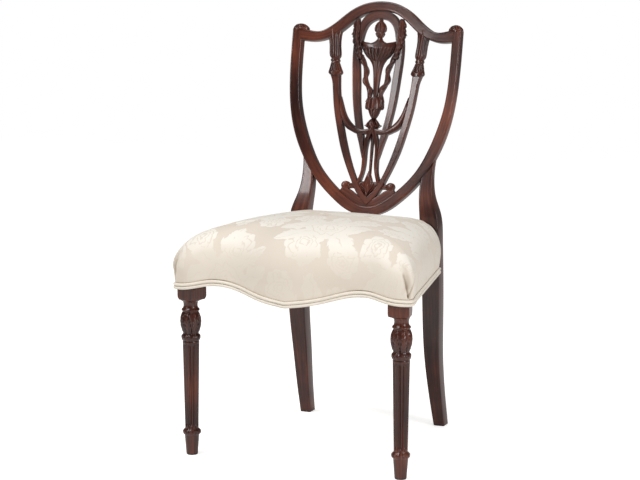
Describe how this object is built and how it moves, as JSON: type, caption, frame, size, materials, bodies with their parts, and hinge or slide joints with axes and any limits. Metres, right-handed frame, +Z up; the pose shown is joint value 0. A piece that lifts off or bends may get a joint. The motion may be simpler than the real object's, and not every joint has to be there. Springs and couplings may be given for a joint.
{
  "type": "shield back dining chair",
  "caption": "Dining chair with a pierced shield-shaped back, turned and fluted front legs, swept rear legs and a padded, bow-fronted seat with a double welt.",
  "frame": {"origin": "on the floor under the middle of the chair", "axes": "+Z up, -Y towards the front, +X to the right as seen from the front"},
  "size_m": [0.5594, 0.5666, 0.972],
  "materials": {
    "mahogany": "semi-gloss lacquer over a dark red-brown stain",
    "beech": "plain planed hardwood, hidden under the upholstery",
    "damask": "cream tone-on-tone damask weave",
    "welt_cord": "double welt covered in the seat's own cloth",
    "stuffing": "foam and wadding",
    "jute_webbing": "plain woven jute",
    "hessian_cloth": "open plain weave",
    "dust_cloth": "thin black non-woven cloth",
    "steel": "plain bright steel"
  },
  "bodies": {
    "root": {"corner_block_front_left": "beech", "corner_block_front_right": "beech", "corner_block_rear_left": "beech", "corner_block_rear_right": "beech", "corner_block_screws": "steel", "crest_rail": "mahogany", "dust_cover": "dust_cloth", "dust_cover_tacks": "steel", "ear_cap_left": "mahogany", "ear_cap_right": "mahogany", "front_leg_left": "mahogany", "front_leg_right": "mahogany", "hessian": "hessian_cloth", "husk_chain_left": "mahogany", "husk_chain_right": "mahogany", "knot_leaf": "mahogany", "leaf_cup": "mahogany", "lotus_bud": "mahogany", "rear_post_left": "mahogany", "rear_post_right": "mahogany", "rib_capital_left": "mahogany", "rib_capital_right": "mahogany", "ribbon_left": "mahogany", "ribbon_right": "mahogany", "scroll_bracket_left": "mahogany", "scroll_bracket_right": "mahogany", "seat_cover": "damask", "seat_rail_front": "beech", "seat_rail_left": "beech", "seat_rail_rear": "beech", "seat_rail_right": "beech", "seat_stuffing": "stuffing", "shield_lower_rail": "mahogany", "spindle": "mahogany", "splat_hoop": "mahogany", "splat_rib_left": "mahogany", "splat_rib_right": "mahogany", "splat_stem_left": "mahogany", "splat_stem_right": "mahogany", "swag_left": "mahogany", "swag_right": "mahogany", "urn_bowl": "mahogany", "urn_drop": "mahogany", "urn_finial": "mahogany", "urn_lid": "mahogany", "urn_stem": "mahogany", "webbing_crosswise": "jute_webbing", "webbing_lengthwise": "jute_webbing", "welt_lower": "welt_cord", "welt_upper": "welt_cord"}
  },
  "joints": []
}
